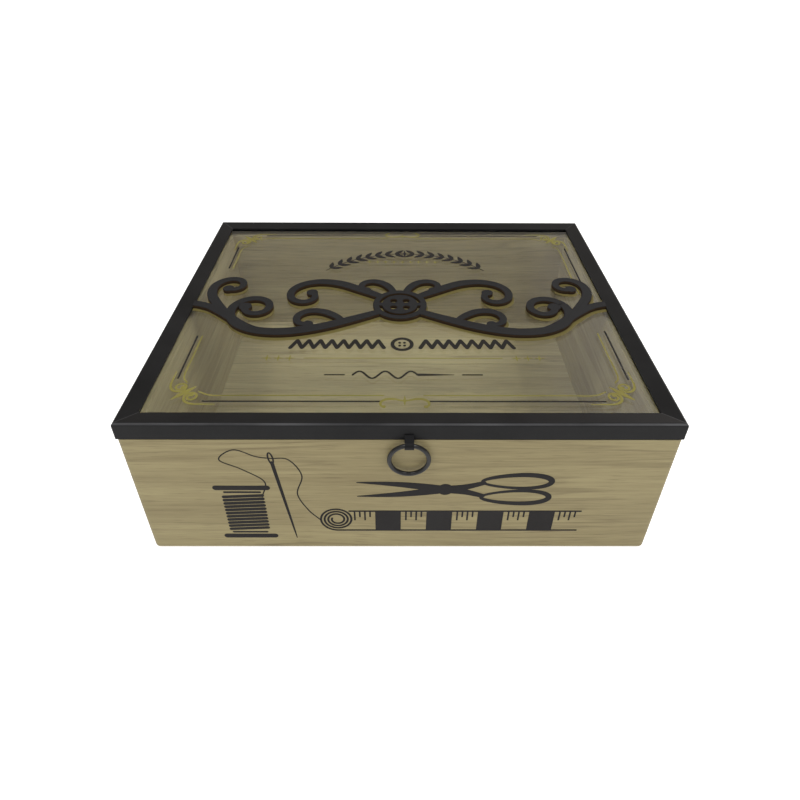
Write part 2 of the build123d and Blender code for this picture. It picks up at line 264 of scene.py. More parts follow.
def scroll_strokes():
    """The raised scrolls drawn flat, scaled as in the CAD source, with the rim of the middle button."""
    drawn = [part for *numbers, bead in SCROLLS for part in curl(*numbers, bead=bead)]
    line_end = drawn[0][0][-1 - CAP_STEPS, 0]   # before the points of its round end
    scrolls = moved(mirrored_pair(drawn), (0, SCROLL_Y), scale=(SCROLL_HALF + OVERRUN) / line_end)
    rim = stroke(circle((0, SCROLL_Y), BUTTON_RADIUS - BUTTON_RIM / 2, 64), BUTTON_RIM, closed=True)
    return scrolls + [rim]


# ---------------------------------------------------------------- shader building

def new_group(name, inputs, outputs):
    """A node group with named sockets. Gives the tree, its input node and its output node."""
    tree = bpy.data.node_groups.new(name, "ShaderNodeTree")
    for title, kind, value in inputs:
        socket = tree.interface.new_socket(title, in_out="INPUT", socket_type=kind)
        if value is not None:
            socket.default_value = value
    for title, kind in outputs:
        tree.interface.new_socket(title, in_out="OUTPUT", socket_type=kind)
    return tree, tree.nodes.new("NodeGroupInput"), tree.nodes.new("NodeGroupOutput")


def add_node(tree, kind, links=None, **settings):
    """A node with its settings, and values or other sockets put into its inputs."""
    node = tree.nodes.new(kind)
    for key, value in settings.items():
        setattr(node, key, value)
    for key, value in (links or {}).items():
        socket = node.inputs[key]
        if isinstance(value, bpy.types.NodeSocket):
            tree.links.new(value, socket)
        else:
            socket.default_value = value
    return node


def maths(tree, operation, first, second=0.0, clamp=False):
    """The result of a Math node."""
    node = add_node(tree, "ShaderNodeMath", {0: first, 1: second}, operation=operation, use_clamp=clamp)
    return node.outputs[0]


def blended(tree, share, first, second, mode="MIX"):
    """A colour between two, by a share from 0 to 1."""
    node = add_node(tree, "ShaderNodeMix", data_type="RGBA", blend_type=mode)
    for index, value in ((0, share), (6, first), (7, second)):
        if isinstance(value, bpy.types.NodeSocket):
            tree.links.new(value, node.inputs[index])
        else:
            node.inputs[index].default_value = value
    return node.outputs[2]


def spread(tree, value, low, high, to_low=0.0, to_high=1.0):
    """Stretches a value from one range to another and clamps it there."""
    return add_node(tree, "ShaderNodeMapRange", {"Value": value, "From Min": low, "From Max": high,
                                                 "To Min": to_low, "To Max": to_high}).outputs[0]


def noise(tree, vector, scale, detail=2.0, roughness=0.5):
    """A smooth noise from 0 to 1, mostly near a half."""
    return add_node(tree, "ShaderNodeTexNoise", {"Vector": vector, "Scale": scale, "Detail": detail,
                                                 "Roughness": roughness}).outputs[0]


def stretched(tree, vector, factors):
    """Coordinates multiplied along each axis; a small factor draws a noise out along it."""
    return add_node(tree, "ShaderNodeMapping", {"Vector": vector, "Scale": factors}).outputs[0]


def oak_grain():
    """Printed oak foil, with its grain along X. Soft bands a centimetre wide, the thin brown lines of the
    yearly rings, which lie where the bands' value is a half, streaks a millimetre wide and fine dark pores,
    each from a noise drawn out along the grain."""
    tree, start, end = new_group(
        "oak_grain",
        [("Vector", "NodeSocketVector", None), ("Light", "NodeSocketColor", None),
         ("Dark", "NodeSocketColor", None), ("Pore", "NodeSocketColor", None)],
        [("Color", "NodeSocketColor"), ("Height", "NodeSocketFloat")])
    place = start.outputs["Vector"]
    bend = noise(tree, stretched(tree, place, (5, 14, 14)), 1.0, 1.0)
    lifted = add_node(tree, "ShaderNodeCombineXYZ", {2: maths(tree, "MULTIPLY", bend, 0.012)}).outputs[0]
    wavy = add_node(tree, "ShaderNodeVectorMath", {0: place, 1: lifted}, operation="ADD").outputs[0]
    bands = noise(tree, stretched(tree, wavy, (4, 95, 95)), 1.0, 2.0, 0.55)
    streaks = noise(tree, stretched(tree, wavy, (22, 620, 620)), 1.0, 3.0, 0.6)
    pores = noise(tree, stretched(tree, wavy, (70, 2300, 2300)), 1.0, 2.0, 0.55)
    patches = noise(tree, stretched(tree, place, (16, 45, 45)), 1.0, 2.0, 0.5)
    tone = maths(tree, "ADD", maths(tree, "MULTIPLY", spread(tree, bands, 0.32, 0.68), 0.42),
                 maths(tree, "MULTIPLY", spread(tree, streaks, 0.3, 0.7), 0.38))
    tone = maths(tree, "ADD", tone, maths(tree, "MULTIPLY", spread(tree, patches, 0.3, 0.7), 0.2), clamp=True)
    colour = blended(tree, tone, start.outputs["Dark"], start.outputs["Light"])
    off_ring = maths(tree, "ABSOLUTE", maths(tree, "SUBTRACT", bands, 0.5))
    ring = maths(tree, "MULTIPLY", spread(tree, off_ring, 0.0, 0.03, 0.5, 0.0),
                 spread(tree, patches, 0.4, 0.62))
    colour = blended(tree, ring, colour, start.outputs["Pore"])
    pore = spread(tree, pores, 0.34, 0.44, 1.0, 0.0)
    colour = blended(tree, maths(tree, "MULTIPLY", pore, 0.35), colour, start.outputs["Pore"])
    height = maths(tree, "SUBTRACT", maths(tree, "MULTIPLY", streaks, 0.5),
                   maths(tree, "MULTIPLY", pore, 0.5))
    tree.links.new(colour, end.inputs["Color"])
    tree.links.new(height, end.inputs["Height"])
    return tree


def fine_coat():
    """A sprayed coat: a fine orange peel for the bump, slow patches where it is a little duller or dustier,
    a painted highlight along folds, where the normal is neither level nor upright, and a lighter line where
    Seam says."""
    tree, start, end = new_group(
        "fine_coat",
        [("Vector", "NodeSocketVector", None), ("Grain per metre", "NodeSocketFloat", 2200.0),
         ("Color", "NodeSocketColor", None), ("Dust color", "NodeSocketColor", None),
         ("Roughness", "NodeSocketFloat", 0.4), ("Dust", "NodeSocketFloat", 0.12),
         ("Normal", "NodeSocketVector", None), ("Highlight and seam color", "NodeSocketColor", None),
         ("Fold highlight", "NodeSocketFloat", 0.0), ("Seam", "NodeSocketFloat", 0.0)],
        [("Color", "NodeSocketColor"), ("Roughness", "NodeSocketFloat"), ("Height", "NodeSocketFloat")])
    place = start.outputs["Vector"]
    peel = noise(tree, place, start.outputs["Grain per metre"], 2.0, 0.5)
    patches = spread(tree, noise(tree, place, 38.0, 4.0, 0.62), 0.36, 0.7)
    dust = maths(tree, "MULTIPLY", patches, start.outputs["Dust"])
    colour = blended(tree, dust, start.outputs["Color"], start.outputs["Dust color"])
    up = add_node(tree, "ShaderNodeSeparateXYZ", {0: start.outputs["Normal"]}).outputs[2]
    # Painted highlight: lighter paint where the normal lies between level and upright, where lamps catch the
    # rounded fold; Seam adds a lighter line along the mitres
    fold = maths(tree, "MULTIPLY", spread(tree, up, 0.3, 0.5), spread(tree, up, 0.86, 0.95, 1.0, 0.0))
    highlight_and_seam = maths(tree, "MAXIMUM", maths(tree, "MULTIPLY", fold, start.outputs["Fold highlight"]), start.outputs["Seam"])
    patchy_highlight_and_seam = maths(tree, "MULTIPLY", highlight_and_seam, spread(tree, noise(tree, place, 26.0, 3.0, 0.6), 0.3, 0.62, 0.35))
    colour = blended(tree, patchy_highlight_and_seam, colour, start.outputs["Highlight and seam color"])
    rough = maths(tree, "ADD", start.outputs["Roughness"], maths(tree, "MULTIPLY", patches, 0.1))
    rough = maths(tree, "ADD", rough, maths(tree, "MULTIPLY", peel, 0.05))
    for socket, value in (("Color", colour), ("Roughness", rough), ("Height", peel)):
        tree.links.new(value, end.inputs[socket])
    return tree


def mitre_seam():
    """The mitres of the frame: a mask that is 1 where a point is as far in from the frame's side as from its
    end."""
    tree, start, end = new_group(
        "mitre_seam",
        [("Vector", "NodeSocketVector", None), ("Half width", "NodeSocketFloat", 0.12),
         ("Half depth", "NodeSocketFloat", 0.1), ("Line", "NodeSocketFloat", 0.0003)],
        [("Mask", "NodeSocketFloat")])
    x, y = add_node(tree, "ShaderNodeSeparateXYZ", {0: start.outputs["Vector"]}).outputs[:2]
    from_side = maths(tree, "SUBTRACT", start.outputs["Half width"], maths(tree, "ABSOLUTE", x))
    from_end = maths(tree, "SUBTRACT", start.outputs["Half depth"], maths(tree, "ABSOLUTE", y))
    apart = maths(tree, "ABSOLUTE", maths(tree, "SUBTRACT", from_side, from_end))
    mask = maths(tree, "SUBTRACT", 1.0, maths(tree, "DIVIDE", apart, start.outputs["Line"]), clamp=True)
    tree.links.new(mask, end.inputs["Mask"])
    return tree


def new_material(name):
    """An empty material with a Principled shader. Gives the material, its tree and the shader."""
    material = bpy.data.materials.new(name)
    material.use_nodes = True
    return material, material.node_tree, material.node_tree.nodes["Principled BSDF"]


def bumped(tree, shader, height, strength, distance):
    """Lets a height roughen a shader's surface."""
    bump = add_node(tree, "ShaderNodeBump", {"Height": height, "Strength": strength, "Distance": distance})
    tree.links.new(bump.outputs[0], shader.inputs["Normal"])


def oak_material(name, colours, turn, shift):
    """Oak foil on board. turn sets the grain along another axis, and shift gives each wall its own stretch
    of it."""
    material, tree, shader = new_material(name)
    place = tree.nodes.new("ShaderNodeTexCoord").outputs["Object"]
    turned = add_node(tree, "ShaderNodeMapping", {"Vector": place, "Rotation": (0, 0, turn),
                                                  "Location": shift})
    grain = add_node(tree, "ShaderNodeGroup", node_tree=bpy.data.node_groups["oak_grain"])
    tree.links.new(turned.outputs[0], grain.inputs["Vector"])
    for socket, colour in (("Light", colours.oak_light), ("Dark", colours.oak_dark),
                           ("Pore", colours.oak_pore)):
        grain.inputs[socket].default_value = (*colour, 1)
    tree.links.new(grain.outputs["Color"], shader.inputs["Base Color"])
    shader.inputs["Roughness"].default_value = 0.52
    shader.inputs["Specular IOR Level"].default_value = 0.3
    bumped(tree, shader, grain.outputs["Height"], 0.25, 0.00012)
    return material


def coat_material(name, colour, dust_colour, roughness, dust, grain=2200.0, bump=0.12, metallic=0.0,
                  gloss=0.14, highlight_and_seam_colour=None):
    """Paint, lacquer, ink or plating by the fine_coat group. gloss is the strength of its mirror reflection,
    and a highlight_and_seam_colour is painted as a highlight along the frame's folds and as a line along its
    mitres."""
    material, tree, shader = new_material(name)
    place = tree.nodes.new("ShaderNodeTexCoord").outputs
    coat = add_node(tree, "ShaderNodeGroup", node_tree=bpy.data.node_groups["fine_coat"])
    tree.links.new(place["Object"], coat.inputs["Vector"])
    coat.inputs["Grain per metre"].default_value = grain
    coat.inputs["Color"].default_value = (*colour, 1)
    coat.inputs["Dust color"].default_value = (*dust_colour, 1)
    coat.inputs["Roughness"].default_value = roughness
    coat.inputs["Dust"].default_value = dust
    # The frame gets a painted highlight along its folds and a lighter line along its mitres
    if highlight_and_seam_colour:
        tree.links.new(place["Normal"], coat.inputs["Normal"])
        coat.inputs["Highlight and seam color"].default_value = (*highlight_and_seam_colour, 1)
        coat.inputs["Fold highlight"].default_value = 1.0
        seam = add_node(tree, "ShaderNodeGroup", node_tree=bpy.data.node_groups["mitre_seam"])
        tree.links.new(place["Object"], seam.inputs["Vector"])
        seam.inputs["Half width"].default_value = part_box("lid_front_rail")[1].x
        seam.inputs["Half depth"].default_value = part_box("lid_right_rail")[1].y
        tree.links.new(seam.outputs["Mask"], coat.inputs["Seam"])
    tree.links.new(coat.outputs["Color"], shader.inputs["Base Color"])
    tree.links.new(coat.outputs["Roughness"], shader.inputs["Roughness"])
    shader.inputs["Metallic"].default_value = metallic
    shader.inputs["Specular IOR Level"].default_value = gloss
    bumped(tree, shader, coat.outputs["Height"], bump, 0.00008)
    return material


def glass_material(name, tint):
    """Clear float glass that bends light, and lets lamps through to what lies under it."""
    material, tree, shader = new_material(name)
    shader.inputs["Base Color"].default_value = (*tint, 1)
    shader.inputs["Roughness"].default_value = 0.0
    shader.inputs["IOR"].default_value = 1.5
    shader.inputs["Transmission Weight"].default_value = 1.0
    clear = add_node(tree, "ShaderNodeBsdfTransparent", {"Color": (*tint, 1)})
    path = tree.nodes.new("ShaderNodeLightPath")
    mix = add_node(tree, "ShaderNodeMixShader", {0: path.outputs["Is Shadow Ray"]})
    tree.links.new(shader.outputs[0], mix.inputs[1])
    tree.links.new(clear.outputs[0], mix.inputs[2])
    tree.links.new(mix.outputs[0], tree.nodes["Material Output"].inputs["Surface"])
    return material


# ---------------------------------------------------------------- settings

def colour_setting(name, description, default):
    """A colour for the sidebar, in linear red, green and blue."""
    return bpy.props.FloatVectorProperty(name=name, description=description, subtype="COLOR", size=3,
                                         min=0, max=1, default=default)


def length_setting(name, description, default):
    """A length in metres for the sidebar."""
    return bpy.props.FloatProperty(name=name, description=description, unit="LENGTH", subtype="DISTANCE",
                                   min=0, default=default, precision=5)


class SewingBoxColours(bpy.types.PropertyGroup):
    """Colours of the sewing box's finishes."""
    oak_light: colour_setting("Oak, light", "Lightest tone of the oak foil", (0.395, 0.335, 0.170))
    oak_dark: colour_setting("Oak, dark", "Tone of the oak foil's bands and streaks", (0.215, 0.170, 0.080))
    oak_pore: colour_setting("Oak, pores", "Fine pores in the oak foil", (0.115, 0.083, 0.038))
    frame_black: colour_setting("Frame", "Coat of the lid's metal frame and fittings", (0.008, 0.008, 0.0085))
    ornament_black: colour_setting("Scrolls", "Paint on the raised scrolls", (0.016, 0.016, 0.017))
    cut_edge: colour_setting("Cut edge", "Scorched edge of the cut-out scrolls", (0.045, 0.026, 0.012))
    dust: colour_setting("Dust", "Faint dust on the black parts", (0.06, 0.06, 0.06))
    ink_black: colour_setting("Black ink", "Ink of the dark prints", (0.014, 0.012, 0.012))
    # Lighter paint that is a painted highlight along the frame's folds, and the colour of the lines along its
    # mitres
    fold_highlight_and_seam: colour_setting("Fold highlight and seams", "Paint rubbed thin on the frame's folds", (0.075, 0.075, 0.078))
    ink_shadow: colour_setting("Scroll shadow", "Old gold printed under the scrolls", (0.15, 0.125, 0.04))
    ink_gold: colour_setting("Gold ink", "Ink of the gold prints", (0.25, 0.225, 0.055))
    steel: colour_setting("Steel", "Plated screws and hinge pins", (0.42, 0.41, 0.39))
    glass_tint: colour_setting("Glass", "Tint of the glass", (0.93, 0.95, 0.96))
    floor: colour_setting("Floor", "The pale studio floor", (0.92, 0.92, 0.92))


class SewingBoxSizes(bpy.types.PropertyGroup):
    """Sizes of the sewing box's prints and small parts."""
    print_thick: length_setting("Ink thickness", "How far a print stands proud", 0.00004)
    edge_round: length_setting("Edge rounding", "Rounding of the raised scrolls' edges", 0.0002)
    ring_wire: length_setting("Ring wire", "Radius of the pull ring's wire", (RING_HIGH.y - RING_LOW.y) / 2)
    ring_reach: length_setting("Ring", "Outer radius of the pull ring", (RING_HIGH.x - RING_LOW.x) / 2)
    camera_lens: length_setting("Lens", "Focal length, for a sensor 36 mm wide", 0.027468)


# ---------------------------------------------------------------- pieces

class MakeFinishes(bpy.types.Operator):
    """Give the walls, the frame, the glass and the hardware their materials"""
    bl_idname = "sewing_box.finishes"
    bl_label = "Finishes"

    def execute(self, context):
        colours = context.scene.sewing_box_colours
        oak_grain()
        fine_coat()
        mitre_seam()
        finishes = {
            "front_wall": oak_material("oak_front", colours, 0, (0.31, 0, 0.11)),
            "back_wall": oak_material("oak_back", colours, 0, (0.77, 0, 0.43)),
            "left_wall": oak_material("oak_left", colours, math.pi / 2, (0.15, 0, 0.27)),
            "right_wall": oak_material("oak_right", colours, math.pi / 2, (1.15, 0, 0.61)),
            "bottom_panel": oak_material("oak_panel", colours, 0, (2.1, 0.3, 0)),
            "glass_pane": glass_material("clear_glass", colours.glass_tint),
        }
        # The frame's coat carries the painted fold highlight and the mitre lines
        frame_coat = coat_material("black_frame_coat", colours.frame_black, colours.dust, 0.33, 0.10,
                                   highlight_and_seam_colour=colours.fold_highlight_and_seam)
        hinge_coat = coat_material("black_hinge_coat", colours.frame_black, colours.dust, 0.33, 0.08)
        coat_material("black_wire_coat", colours.frame_black, colours.dust, 0.25, 0.05, gloss=0.4)
        steel = coat_material("plated_steel", colours.steel, colours.dust, 0.3, 0.25, metallic=1.0, gloss=0.5)
        coat_material("black_scroll_paint", colours.ornament_black, colours.dust, 0.55, 0.10, grain=3500.0)
        coat_material("scorched_edge", colours.cut_edge, colours.dust, 0.8, 0.1, grain=3000.0, bump=0.3)
        coat_material("black_ink", colours.ink_black, colours.dust, 0.5, 0.2, grain=5000.0)
        coat_material("gold_ink", colours.ink_gold, colours.oak_pore, 0.42, 0.35, grain=5000.0, metallic=0.15)
        coat_material("old_gold_ink", colours.ink_shadow, colours.oak_pore, 0.5, 0.35, grain=5000.0)
        for side in ("front", "back", "left", "right"):
            finishes[f"lid_{side}_rail"] = frame_coat
        for side in ("left", "right"):
            finishes[f"{side}_hinge_box_leaf"] = finishes[f"{side}_hinge_lid_leaf"] = hinge_coat
            finishes[f"{side}_hinge_pin"] = steel
        finishes["hinge_screws"] = steel
        finishes["glass_clips"] = finishes["pull_tab"] = hinge_coat
        for node, material in finishes.items():
            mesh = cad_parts[node].data
            mesh.materials.clear()
            mesh.materials.append(material)
        return {"FINISHED"}


class MakeRing(bpy.types.Operator):
    """Make the round wire of the pull ring"""
    bl_idname = "sewing_box.ring"
    bl_label = "Pull ring"

    def execute(self, context):
        """A ring round Y, of radius R to the wire's middle: at u round the ring and v round the wire, the
        point lies R + r cos(v) from the middle, and r sin(v) along Y."""
        sizes = context.scene.sewing_box_sizes
        middle = (RING_LOW + RING_HIGH) / 2
        wire, reach = sizes.ring_wire, sizes.ring_reach
        u, v = np.meshgrid(np.linspace(0, 2 * math.pi, RING_STEPS, endpoint=False),
                           np.linspace(0, 2 * math.pi, WIRE_STEPS, endpoint=False), indexing="ij")
        away = reach - wire + wire * np.cos(v)
        points = np.stack([middle.x + away * np.cos(u), middle.y + wire * np.sin(v),
                           middle.z + away * np.sin(u)], axis=-1).reshape(-1, 3)
        faces = grid_faces(RING_STEPS, WIRE_STEPS, close_rows=True, close_columns=True)[:, ::-1]
        ring = add_piece("wire_ring", points, faces, bpy.data.materials["black_wire_coat"], "ring",
                         smooth=True)
        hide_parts("pull_ring")
        return {"FINISHED"}


class MakeScrolls(bpy.types.Operator):
    """Soften the edges of the raised scrolls and colour their cut edges"""
    bl_idname = "sewing_box.scrolls"
    bl_label = "Raised scrolls"

    def execute(self, context):
        """A merged copy of the CAD node with a small Bevel; faces that look sideways get the cut edge's
        colour."""
        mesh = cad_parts["raised_ornament"].data.copy()
        mesh.name = "scroll_cut_out"
        mesh.materials.clear()
        for name in ("black_scroll_paint", "scorched_edge"):
            mesh.materials.append(bpy.data.materials[name])
        scrolls = bpy.data.objects.new("scroll_cut_out", mesh)
        bpy.context.scene.collection.objects.link(scrolls)
        weld = scrolls.modifiers.new("merge", "WELD")
        weld.merge_threshold = 1e-6
        with bpy.context.temp_override(object=scrolls, active_object=scrolls):
            bpy.ops.object.modifier_apply(modifier="merge")
        normals = np.zeros(3 * len(mesh.polygons))
        mesh.polygons.foreach_get("normal", normals)
        sideways = np.abs(normals.reshape(-1, 3)[:, 2]) < 0.5
        mesh.polygons.foreach_set("material_index", sideways.astype(np.int32))
        bevel = scrolls.modifiers.new("soft edge", "BEVEL")
        bevel.width = context.scene.sewing_box_sizes.edge_round
        bevel.segments = 2
        bevel.limit_method = "ANGLE"
        bevel.angle_limit = math.radians(50)
        bevel.use_clamp_overlap = False
        bevel.material = 0
        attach(scrolls, "lid")
        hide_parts("raised_ornament")
        return {"FINISHED"}


class MakeGlassPrints(bpy.types.Operator):
    """Print the border, the garland and the stitches on the glass"""
    bl_idname = "sewing_box.glass_prints"
    bl_label = "Prints on the glass"

    def execute(self, context):
        thick = context.scene.sewing_box_sizes.print_thick / MM
        inks = bpy.data.materials
        plane = ((0, 0, GLASS_TOP), (1, 0, 0), (0, 1, 0))
        printed("gold_scroll_shadow", moved(scroll_strokes(), SHADOW_SHIFT), *plane, thick / 2,
                inks["old_gold_ink"], "lid")
        printed("black_glass_print", self.border() + self.garland() + self.zigzag() + self.thread_row(),
                *plane, thick, inks["black_ink"], "lid", "black_ornament")
        printed("gold_glass_print", self.corners() + self.flourishes() + self.stars(), *plane, thick,
                inks["gold_ink"], "lid")
        return {"FINISHED"}

    def border(self):
        """The broken black line round the glass."""
        left, right = BORDER_X
        runs = [((low, y), (high, y)) for low, high in ((-87.2, -8.3), (12.1, 90.6)) for y in BORDER_Y]
        runs += [((x, low), (x, high)) for x, low, high in (
            (left, -67.4, -32.7), (left, 37.8, 65.5), (right, -67.7, -28), (right, 6.6, 65.2))]
        return [stroke(line(*run), BLACK_LINE, round_off=False) for run in runs]

    def garland(self):
        """Leaf pairs along an arc: a stem, and two leaves at each place, leaning off the stem to both sides
        and pointing to the star at the top. A leaf is 0.5 + 2.3 sin(pi s^0.8) wide at the share s of its
        length."""
        middle, radius, lean = np.array([3.2, -4.8]), 62.0, 38
        angles = np.radians(np.linspace(139, 41, 90))
        strokes = [stroke(middle + radius * np.stack([np.cos(angles), np.sin(angles)], axis=1), 0.7)]
        share = np.linspace(0, 1, 9)
        for angle in np.linspace(136, 44, 17):
            foot = middle + radius * np.array([math.cos(math.radians(angle)), math.sin(math.radians(angle))])
            if abs(angle - 90) < 1:
                strokes += star(foot, 4.2)
                continue
            to_top = angle + 90 if angle < 90 else angle - 90
            for direction in (math.radians(to_top + lean), math.radians(to_top - lean)):
                leaf = foot + np.outer(share * 7.0 + 0.4, (math.cos(direction), math.sin(direction)))
                strokes.append(stroke(leaf, 0.5 + 2.3 * np.sin(np.pi * share ** 0.8), round_off=False))
        return strokes

    def zigzag(self):
        """A wide machine stitch to both sides of a small button."""
        strokes = []
        for low, high in ((-54, -8), (10, 56)):
            x = np.linspace(low, high, 17)
            points = np.stack([x, STITCH_Y + 3.1 * np.where(np.arange(len(x)) % 2, 1, -1)], axis=1)
            strokes += [stroke(line(*pair), 2.1) for pair in zip(points, points[1:])]
        middle = np.array([1.0, STITCH_Y])
        strokes.append(stroke(circle(middle, 4.8), 1.9, closed=True))
        strokes += [dot(middle + (x, y), 0.75) for x in (-1.2, 1.2) for y in (-1.2, 1.2)]
        return strokes

    def thread_row(self):
        """A thread in five half waves, 2.6 sin(5 pi s), with a needle at its end, between two short lines."""
        start, end, tip = -22, 8, 25
        share = np.linspace(0, 1, 60)
        wave = np.stack([start + (end - start) * share, THREAD_Y + 2.6 * np.sin(5 * math.pi * share)], axis=1)
        strokes = [stroke(wave, 1.05)]
        for low, high in ((-35, -26), (29, 38)):
            strokes.append(stroke(line((low, THREAD_Y), (high, THREAD_Y)), 0.8))
        needle = line((end, THREAD_Y), (tip, THREAD_Y), 12)
        strokes.append(stroke(needle, 1.7 - 1.4 * np.linspace(0, 1, 12) ** 1.5, round_off=False))
        return strokes

    def corner(self):
        """One gold corner, drawn for the lower right with its outer corner at the origin: a scroll along each
        border that ends in a round eye, and a leaf between them that points to the glass."""
        spiral = curl((-24, 1), 0, 34, (0, 0, 0.22, 0.36, 0.45, 0.7), (0.5, 0.9, 1.3, 1.2, 1.1, 1), bead=1.1)
        mirrored = [(path[:, ::-1] * (-1, -1), widths, closed) for path, widths, closed in spiral]
        share = np.linspace(0, 1, 9)
        leaf = stroke(line((-13, 13), (-4, 4), 9), 0.5 + 2.0 * np.sin(np.pi * share), round_off=False)
        return spiral + mirrored + [leaf]

    def corners(self):
        """A scroll in each corner, and the thin gold lines inside the black ones, which turn in at their
        outer ends."""
        strokes = []
        for x, side in zip(CORNER_X, (-1, 1)):
            for y, up in zip(CORNER_Y, (1, -1)):
                strokes += moved(self.corner(), (x, y), mirror=(side, up))
        for y, up in zip(GOLD_Y, (1, -1)):
            for inner, outer in ((MIDDLE_X - FLOURISH_GAP, -84), (MIDDLE_X + FLOURISH_GAP, 86)):
                turned_in = (outer + math.copysign(6, outer), y + 2.6 * up)
                path = [*line((inner, y), (outer, y), 8), turned_in]
                strokes.append(stroke(through(path, 6), GOLD_LINE))
        for x, side, spans in zip(GOLD_X, (-1, 1), (((-33, -65), (38, 62)), ((-30, -65), (9, 62)))):
            for inner, outer in spans:
                turned_in = (x - 2.6 * side, outer + math.copysign(5, outer))
                path = [*line((x, inner), (x, outer), 3), turned_in]
                strokes.append(stroke(through(path, 8), GOLD_LINE))
        return strokes

    def flourishes(self):
        """The gold middles of the front and the back border: two curls away from a small star."""
        half = curl((1.2, 0.6), 20, 14, (-0.02, -0.1, -0.3, -0.6), (0.8, 1.5, 1.3, 1.0), bead=0.9)
        whole = mirrored_pair(half) + star((0, 0.6), 3.2)
        return [part for y, up in zip(BORDER_Y, (1, -1))
                for part in moved(whole, (FLOURISH_X, y), mirror=(1, up))]

    def stars(self):
        """Three stars at each end of a thin line, and a row of small ones inside the garland."""
        strokes = []
        for x in (56, 61.5, 67):
            strokes += star((x, STARS_Y), 2.3) + star((2 * MIDDLE_X - x, STARS_Y), 2.3)
        strokes.append(stroke(line((-46, STARS_Y), (49, STARS_Y)), 0.5))
        for number in range(9):
            strokes += star((-18.4 + 5 * number, SMALL_STARS_Y), 1.9)
        return strokes


class MakeFrontPrints(bpy.types.Operator):
    """Print the spool, the shears and the measuring tape on the front wall"""
    bl_idname = "sewing_box.front_prints"
    bl_label = "Prints on the front"

    def execute(self, context):
        thick = context.scene.sewing_box_sizes.print_thick / MM
        strokes = moved(self.spool() + self.needle() + self.shears() + self.tape(), FRONT_SHIFT)
        printed("front_wall_print", strokes, (0, FRONT_FACE, 0), (1, 0, 0), (0, 0, 1), thick,
                bpy.data.materials["black_ink"], "box", "black_ornament")
        return {"FINISHED"}

    def spool(self):
        """A full spool: two rims with their collars, and thread lines that lean a little."""
        x, low, high, inset = -72.0, 8.0, 42.0, 5.6
        strokes = []
        for z, inward in ((low, 1), (high, -1)):
            collar = z + 2.9 * inward
            strokes.append(stroke(line((x - 11.5, z), (x + 11.5, z)), 3.0))
            strokes.append(stroke(line((x - 8, collar), (x + 8, collar)), 1.2))
        for z in np.linspace(low + inset, high - inset, 11):
            strokes.append(stroke(line((x - 8.8, z - 0.5), (x + 8.8, z + 0.5)), 1.85))
        return strokes

    def needle(self):
        """A long needle with its eye, and a thread that leaves the spool, passes the eye and hangs down."""
        foot, head = np.array([-50.0, 6.5]), np.array([-57.0, 64.0])
        share = np.linspace(0, 1, 16)
        shaft = foot + np.outer(share, (head - foot) * 0.9)
        strokes = [stroke(shaft, 0.35 + 1.35 * np.sqrt(share))]
        way = (head - foot) / np.linalg.norm(head - foot)
        side = np.array([-way[1], way[0]])
        middle = head - way * 3.2
        around = np.linspace(0, 2 * math.pi, 32, endpoint=False)
        eye = middle + np.outer(3.4 * np.cos(around), way) + np.outer(np.sin(around), side)
        strokes.append(stroke(eye, 0.75, closed=True))
        thread = through([(-63.2, 36.0), (-61, 46), (-70, 54), (-79, 60), (-72, 66), (-63, 62), middle,
                          (-49, 60), (-44, 50), (-47, 38), (-43, 27), (-38, 20)], 14)
        strokes.append(stroke(thread, 0.6))
        return strokes

    def shears(self):
        """Tailor's shears that lie on their side, a little open: two blades, the pivot, two shanks and two
        bows."""
        pivot = np.array([20.0, 41.0])
        share = np.linspace(0, 1, 14)
        strokes = []
        for way in (1, -1):
            tip = pivot + (-40, 4.6 * way)
            blade = pivot + np.outer(share, tip - pivot) + np.outer(np.sin(np.pi * share), (0, 0.9 * way))
            strokes.append(stroke(blade, 4.6 - 4.1 * share ** 1.7, round_off=False))
            shank = through([pivot, pivot + (9, -1.6 * way), pivot + (17, -4.2 * way)], 8)
            strokes.append(stroke(shank, np.linspace(4.6, 2.6, len(shank))))
            around = np.linspace(0, 2 * math.pi, 56, endpoint=False)
            bow = pivot + np.stack([32 + 15.5 * np.cos(around),
                                    -5.2 * way + (4.2 + 0.9 * np.cos(around)) * np.sin(around)], axis=1)
            strokes.append(stroke(bow, 2.2 + 0.7 * np.cos(around + 0.6 * way), closed=True))
        strokes.append(stroke(circle(pivot, 3.0, 32), 1.3, closed=True))
        return strokes

    def tape(self):
        """A measuring tape: a strip between two edge lines, with every second field filled and four marks in
        the others, and its roll at the left end, a spiral whose radius falls by 0.27 for each radian."""
        low, high, start, end, roll_x, fields = 12.2, 26.0, -24.0, 84.0, -30.0, 9
        strokes = [stroke(line((roll_x, low), (end, low)), 1.0),
                   stroke(line((start, high), (end, high)), 1.0)]
        width = (end - start) / fields
        for number in range(fields):
            x = start + number * width
            if number % 2:
                middle = x + width / 2
                strokes.append(stroke(line((middle, low), (middle, high)), width, round_off=False))
                continue
            for mark, reach in enumerate((6.5, 4.2, 6.5, 4.2), 1):
                at = x + mark * width / 5
                strokes.append(stroke(line((at, high), (at, high - reach)), 0.8, round_off=False))
        turns = np.linspace(0, 6.6 * math.pi, 150)
        radius = 8.0 - 0.27 * turns
        roll = np.stack([roll_x - radius * np.sin(turns), low + 8.0 - radius * np.cos(turns)], axis=1)
        strokes.append(stroke(roll, 1.0))
        return strokes


